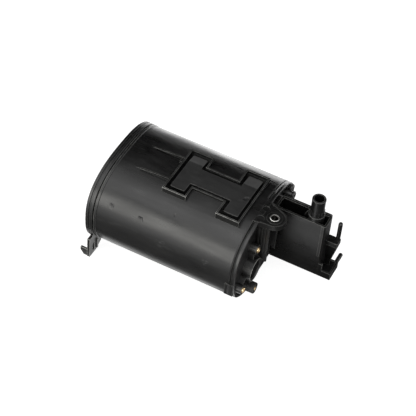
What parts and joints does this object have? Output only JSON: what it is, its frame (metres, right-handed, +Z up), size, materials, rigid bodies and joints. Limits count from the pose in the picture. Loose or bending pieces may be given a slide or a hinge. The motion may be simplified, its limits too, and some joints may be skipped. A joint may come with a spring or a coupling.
{
  "type": "charcoal canister",
  "caption": "Oval moulded tank of charcoal that stores a car's fuel vapour, with a slotted leg, a bolt tab, a vent port, hose nipples and an air filter housing on its end.",
  "frame": {"origin": "middle of the end cap's outer face, on its flush hub", "axes": "+X along the tank from the end cap to the vent port and the filter housing, +Y the tank's long cross axis towards the hose nipples, +Z up out of the raised panel and the spigot"},
  "size_m": [0.2721, 0.152, 0.1355],
  "materials": {
    "black_nylon": "satin black moulded nylon",
    "black_nylon_cap": "satin black moulded nylon",
    "black_nylon_housing": "satin black moulded nylon",
    "plated_steel": "bright zinc plate",
    "brass": "turned brass",
    "spring_steel": "drawn spring wire",
    "charcoal": "packed black granules",
    "white_fleece": "white needled fleece",
    "grey_plate": "dark grey moulded plastic",
    "dark_foam": "open-cell filter foam",
    "seal_rubber": "black sealing rubber"
  },
  "bodies": {
    "root": {"tank_shell": "black_nylon", "end_cap": "black_nylon_cap", "carbon_bed_vapour": "charcoal", "carbon_bed_vent": "charcoal", "port_fleece_vapour": "white_fleece", "port_fleece_vent": "white_fleece", "cap_fleece_vapour": "white_fleece", "cap_fleece_vent": "white_fleece", "pressure_plate_vapour": "grey_plate", "pressure_plate_vent": "grey_plate", "spring_vapour": "spring_steel", "spring_vent": "spring_steel", "tab_bushing": "plated_steel", "vent_insert_upper": "brass", "vent_insert_lower": "brass", "vent_insert_side": "brass", "filter_housing": "black_nylon_housing", "housing_cover": "black_nylon_housing", "foam_filter": "dark_foam", "passage_seal": "seal_rubber"}
  },
  "joints": []
}
